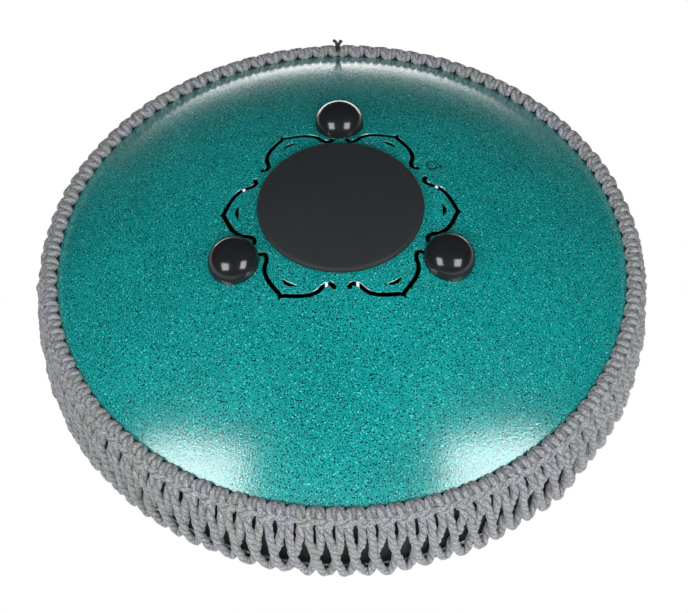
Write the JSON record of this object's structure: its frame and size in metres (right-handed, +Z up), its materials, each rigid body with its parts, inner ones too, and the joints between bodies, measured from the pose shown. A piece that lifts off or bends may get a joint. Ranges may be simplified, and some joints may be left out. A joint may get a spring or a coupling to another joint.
{
  "type": "steel tongue drum",
  "caption": "Round steel tongue drum with a powder-coated two-shell body, lotus-cut base, rubber plug and feet, and a knotted cord cover round its waist.",
  "frame": {"origin": "on the drum's axis, on the surface that its three feet stand on", "axes": "+Z up out of the playing face, -Y to the side that is nearest in the picture, +Y to the cord cover's tie"},
  "size_m": [0.3564, 0.3564, 0.1626],
  "materials": {
    "coated_steel": "speckled powder coat, satin",
    "weld_steel": "ground weld",
    "band_rubber": "matte",
    "cotton_cord": "twisted cotton",
    "brown_cord": "twisted cotton",
    "matte_rubber": "matte",
    "gloss_rubber": "gloss"
  },
  "bodies": {
    "drum": {"playing_shell": "coated_steel", "bottom_shell": "coated_steel", "seam_weld": "weld_steel", "rim_band": "band_rubber", "knot_cord": "cotton_cord", "edge_cord": "cotton_cord", "knot_wraps": "cotton_cord", "knot_bars": "cotton_cord", "left_strands": "cotton_cord", "right_strands": "cotton_cord", "cover_tie": "brown_cord", "foot_back": "gloss_rubber", "foot_left": "gloss_rubber", "foot_right": "gloss_rubber"},
    "plug": {"resonance_plug": "matte_rubber"}
  },
  "joints": [
    {"name": "plug_pull", "type": "slide", "parent": "drum", "child": "plug", "axis": [0, 0, -1], "range_m": [0, 0.03]}
  ]
}
